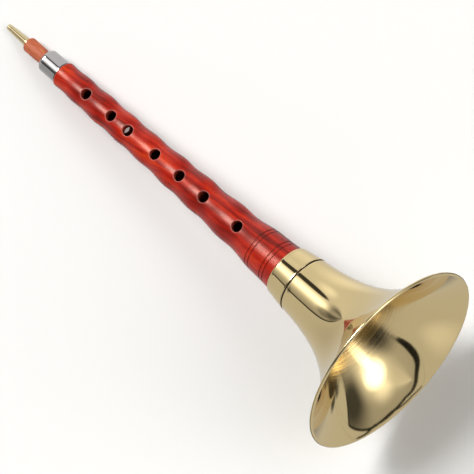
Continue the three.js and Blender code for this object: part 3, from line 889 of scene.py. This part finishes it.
def lacquered_rosewood():
    """Turned rosewood stained red under satin lacquer: the growth rings run along it a little askew, so they
    leave long flame shapes in soft clouds of dark and orange, with dark veins. The pores would be too fine to
    show, and are drawn coarser. The lips of the holes are worn pale."""
    material, tree, shader, place = new_material("lacquered_rosewood")
    askew = add_node(tree, "ShaderNodeMapping", {
        "Vector": place, "Location": (-16.0, 21.0, 0.0), "Rotation": (math.radians(-5), math.radians(3), 0),
    })
    long_places = add_node(tree, "ShaderNodeMapping", {"Vector": askew, "Scale": (1.0, 1.0, 0.18)})
    waver = add_node(tree, "ShaderNodeTexNoise", {"Vector": long_places, "Scale": 0.09, "Detail": 2.0})
    part = add_node(tree, "ShaderNodeSeparateXYZ", {0: askew})
    flat = add_node(tree, "ShaderNodeCombineXYZ", {0: part.outputs[0], 1: part.outputs[1]})
    from_heart = add_node(tree, "ShaderNodeVectorMath", {0: flat}, operation="LENGTH")
    ring = add_node(
        tree, "ShaderNodeMath", {0: waver, 1: 14.0, 2: from_heart.outputs["Value"]}, operation="MULTIPLY_ADD",
    )
    rings = add_node(
        tree, "ShaderNodeTexNoise", {"W": ring, "Scale": 0.3, "Detail": 3.0, "Roughness": 0.55},
        noise_dimensions="1D",
    )
    fibres = add_node(tree, "ShaderNodeMapping", {"Vector": askew, "Scale": (1.1, 1.1, 0.05)})
    fibre = add_node(tree, "ShaderNodeTexNoise", {"Vector": fibres, "Scale": 1.0, "Detail": 5.0, "Roughness": 0.6})
    grain = add_node(tree, "ShaderNodeMix", {0: 0.35, 2: rings, 3: fibre})
    cloud_places = add_node(tree, "ShaderNodeMapping", {"Vector": askew, "Scale": (1.0, 1.0, 0.6)})
    cloud = add_node(tree, "ShaderNodeTexNoise", {"Vector": cloud_places, "Scale": 0.06, "Detail": 2.0})
    figure = add_node(tree, "ShaderNodeMix", {0: 0.5, 2: grain, 3: cloud})
    colour = add_node(tree, "ShaderNodeValToRGB", {0: figure})
    set_stops(colour, (
        (0.34, "#5e0c05"), (0.41, "#7c1005"), (0.47, "#921306"), (0.52, "#a31907"), (0.58, "#b22509"),
        (0.66, "#c0350d"),
    ), 0, 1, colours=True)
    vein_share = add_node(
        tree, "ShaderNodeTexNoise", {"W": ring, "Scale": 1.1, "Detail": 2.0}, noise_dimensions="1D",
    )
    veins = add_node(tree, "ShaderNodeMapRange", {0: vein_share, 1: 0.62, 2: 0.7, 4: 0.5})
    pore_places = add_node(tree, "ShaderNodeMapping", {"Vector": askew, "Scale": (3.2, 3.2, 0.22)})
    pore = add_node(tree, "ShaderNodeTexNoise", {"Vector": pore_places, "Scale": 1.0, "Detail": 1.0})
    pores = add_node(tree, "ShaderNodeMapRange", {0: pore, 1: 0.66, 2: 0.74})
    # Where the surface is cut in, the colour turns by depth to the wall ramp. It is dark in the grooves and at the
    # holes' lips, which is painted shade, and a duller red-brown down the holes' walls.
    deep = add_node(tree, "ShaderNodeAttribute", attribute_name="deep")
    cut = add_node(tree, "ShaderNodeMapRange", {0: deep.outputs["Fac"], 1: 0.12, 2: 0.56})
    depth_share = add_node(tree, "ShaderNodeMapRange", {0: deep.outputs["Fac"], 1: 0.0, 2: dark_depth})
    wall = add_node(tree, "ShaderNodeValToRGB", {0: depth_share})
    set_stops(wall, (
        (0.1, "#560f0a"), (0.2, "#8a2814"), (0.6, "#8a2814"), (1.0, "#74200f"),
    ), 0, 1, colours=True)
    worn = add_node(tree, "ShaderNodeAttribute", attribute_name="worn")
    rubbed = add_node(tree, "ShaderNodeMath", {0: worn.outputs["Fac"], 1: 0.4}, operation="MULTIPLY")
    for share, over in (
        (veins, linear("#4c0e08")), (pores, linear("#6a110b")), (cut, wall), (rubbed, linear("#b98a80")),
    ):
        mixed = add_node(tree, "ShaderNodeMix", {0: share, 6: colour, 7: over}, data_type="RGBA")
        colour = mixed.outputs[2]
    set_inputs(tree, shader, {
        "Base Color": colour, "Specular IOR Level": 0.48, "Specular Tint": linear("#ffd2c2"),
        "Roughness": add_node(tree, "ShaderNodeMapRange", {0: depth_share, 3: 0.27, 4: 0.95}),
    })
    return material


def make_body():
    mesh = body_mesh()
    mark_surface(mesh)
    mesh.transform(instrument)
    mesh.materials.append(lacquered_rosewood())
    piece = bpy.data.objects.new("turned_body", mesh)
    bpy.context.scene.collection.objects.link(piece)
    finish_mesh(piece)
    ride_as(piece, "pipe", "body")


make_body()


# The ferrule is a cap of sheet brass, nickel plated and polished, pressed over the body's tenon so that the
# wood doesn't split where the plug is pushed in.
ferrule_foot = 364.3
ferrule_middle_radius = 9.3
ferrule_bend_radius = 2.75
ferrule_bend_height = 380.9
# Nickel plate polished on a wheel: a cool mirror with a faint haze.
nickel_plate = hazed_metal("polished_nickel_plate", "#c8c4c3", (0.4, 0.4, 0.4), 3.0, 0.03, 0.05)
bend_centre = (ferrule_middle_radius - ferrule_bend_radius, ferrule_bend_height)
ferrule_start = ferrule_foot + sheet / 2
bend_start = (ferrule_middle_radius, ferrule_bend_height)
ferrule_middle = straight((ferrule_middle_radius, ferrule_start), bend_start, 12)
ferrule_middle += arc(bend_centre, ferrule_bend_radius, 0, 90, 12)
ferrule_middle.append((socket_radius + sheet / 2, ferrule_bend_height + ferrule_bend_radius))
ride_as(
    turned_piece("ferrule", sheet_outline(ferrule_middle, sheet), 144, nickel_plate),
    "pipe", "top_ferrule",
)


# The plug is turned from a pale close wood, stained coral and left matt. Its tail stands in the body's socket,
# and the staple goes down through it.
plug_end = 370.3
plug_tail_top = 383.9
plug_tail_radius = 5.75
plug_tail_taper = 0.3
recess_radius = 5.0
recess_low = 372.2
recess_high = 381.2
plug_swell_height = 399.3
plug_head_radius = 6.25
plug_shoulder_height = 402.5
plug_shoulder_radius = 3.1
plug_hole_radius = 3.8
plug_chamfer = 0.3
plug_hole_step = 0.4


def stained_wood():
    """Close pale wood under coral stain: matt, with faint darker streaks along the grain."""
    material, tree, shader, place = new_material("coral_stained_wood")
    grain = add_node(tree, "ShaderNodeMapping", {"Vector": place, "Scale": (1.4, 1.4, 0.12)})
    streaks = add_node(tree, "ShaderNodeTexNoise", {"Vector": grain, "Scale": 1.0, "Detail": 4.0})
    colour = add_node(tree, "ShaderNodeValToRGB", {0: streaks})
    set_stops(colour, ((0.3, "#9b442c"), (0.5, "#b25c3b"), (0.7, "#c47651")), 0, 1, colours=True)
    set_inputs(tree, shader, {"Base Color": colour, "Specular IOR Level": 0.25, "Roughness": 0.5})
    return material


def plug_outline():
    taper = plug_tail_taper / (plug_tail_top - plug_end)

    def tail(height):
        return plug_tail_radius - (plug_tail_top - height) * taper

    shoulder_centre = (plug_head_radius - plug_shoulder_radius, plug_shoulder_height)
    hole_angle = math.degrees(math.acos((plug_hole_radius - shoulder_centre[0]) / plug_shoulder_radius))
    hole_top = plug_shoulder_height + plug_shoulder_radius * math.sin(math.radians(hole_angle))
    outline = [
        (plug_hole_radius, plug_end), (tail(plug_end) - plug_chamfer, plug_end),
        (tail(plug_end), plug_end + plug_chamfer), (tail(recess_low), recess_low), (recess_radius, recess_low),
        (recess_radius, recess_high), (tail(recess_high), recess_high),
    ]
    outline += straight((plug_tail_radius, plug_tail_top), (plug_head_radius, plug_swell_height), 8)
    outline += straight((plug_head_radius, plug_swell_height), (plug_head_radius, plug_shoulder_height), 2)
    outline += arc(shoulder_centre, plug_shoulder_radius, 0, hole_angle, 10)
    outline += straight((plug_hole_radius, hole_top - plug_hole_step), (plug_hole_radius, plug_end), 6)[:-1]
    return outline


ride_as(turned_piece("plug", plug_outline(), 96, stained_wood()), "staple", "staple_plug")


# The lapping is waxed cotton thread, wound turn beside turn in the plug's recess. It makes the plug tight in
# the socket, so the plug can be pulled out and put back.
thread_radius = 0.35
thread_middle_radius = 5.5
lapping_low = 372.5
lapping_high = 380.9
thread_sides = 10
steps_per_turn = 24


def lapping_tree(material):
    """Geometry nodes for the thread: a spiral turn beside turn, with a round section."""
    tree, given = geometry_tree("wound_thread", ("Turns", "Radius", "Low", "High", "Thread Radius"), "Steps")
    rise = add_node(tree, "ShaderNodeMath", {0: given["High"], 1: given["Low"]}, operation="SUBTRACT")
    spiral = add_node(tree, "GeometryNodeCurveSpiral", {
        "Resolution": given["Steps"], "Rotations": given["Turns"], "Start Radius": given["Radius"],
        "End Radius": given["Radius"], "Height": rise,
    })
    lift = add_node(tree, "ShaderNodeCombineXYZ", {2: given["Low"]})
    raised = add_node(tree, "GeometryNodeSetPosition", {"Geometry": spiral, "Offset": lift})
    section = add_node(tree, "GeometryNodeCurvePrimitiveCircle", {
        "Resolution": thread_sides, "Radius": given["Thread Radius"],
    })
    thread = add_node(
        tree, "GeometryNodeCurveToMesh", {"Curve": raised, "Profile Curve": section, "Fill Caps": True},
    )
    return coated_output(tree, thread, material)


def waxed_thread():
    """Waxed cotton thread: cream, with the twist of its strands across it and a dull waxy shine."""
    material, tree, shader, place = new_material("waxed_cotton_thread")
    strands = add_node(tree, "ShaderNodeTexNoise", {"Vector": place, "Scale": 3.0, "Detail": 3.0})
    colour = add_node(tree, "ShaderNodeValToRGB", {0: strands})
    set_stops(colour, ((0.3, "#b9a27a"), (0.7, "#e0cfa8")), 0, 1, colours=True)
    set_inputs(tree, shader, {"Base Color": colour, "Roughness": 0.55})
    return material


lapping = grown("lapping", lapping_tree(waxed_thread()), {
    "Turns": (lapping_high - lapping_low) / (2 * thread_radius) - 1,
    "Radius": thread_middle_radius,
    "Low": lapping_low + thread_radius,
    "High": lapping_high - thread_radius,
    "Thread Radius": thread_radius,
    "Steps": steps_per_turn,
})
finish_mesh(lapping, crease_degrees=60)
ride_as(lapping, "staple", "plug_lapping")


# The staple is a tube of drawn brass, straight in the plug and tapering above it to the tip that takes the
# reed.
staple_radius = 3.5
staple_wall = 0.45
staple_shoulder = 405.6
staple_tip_height = 428.1
staple_tip_radius = 2.379
half_wall = staple_wall / 2

# Brass tube drawn over a mandrel and polished: pale gold, a mirror with the faintest haze along it.
drawn_brass = hazed_metal("drawn_brass_tube", "#e6d3a4", (3.0, 3.0, 0.15), 3.0, 0.03, 0.045)
root = (staple_radius - half_wall, plug_end + half_wall)
shoulder = (staple_radius - half_wall, staple_shoulder)
tip = (staple_tip_radius - half_wall, staple_tip_height - half_wall)
staple_middle = straight(root, shoulder, 8) + straight(shoulder, tip, 8) + [tip]
ride_as(
    turned_piece("staple", sheet_outline(staple_middle, staple_wall), 64, drawn_brass),
    "staple", "staple",
)
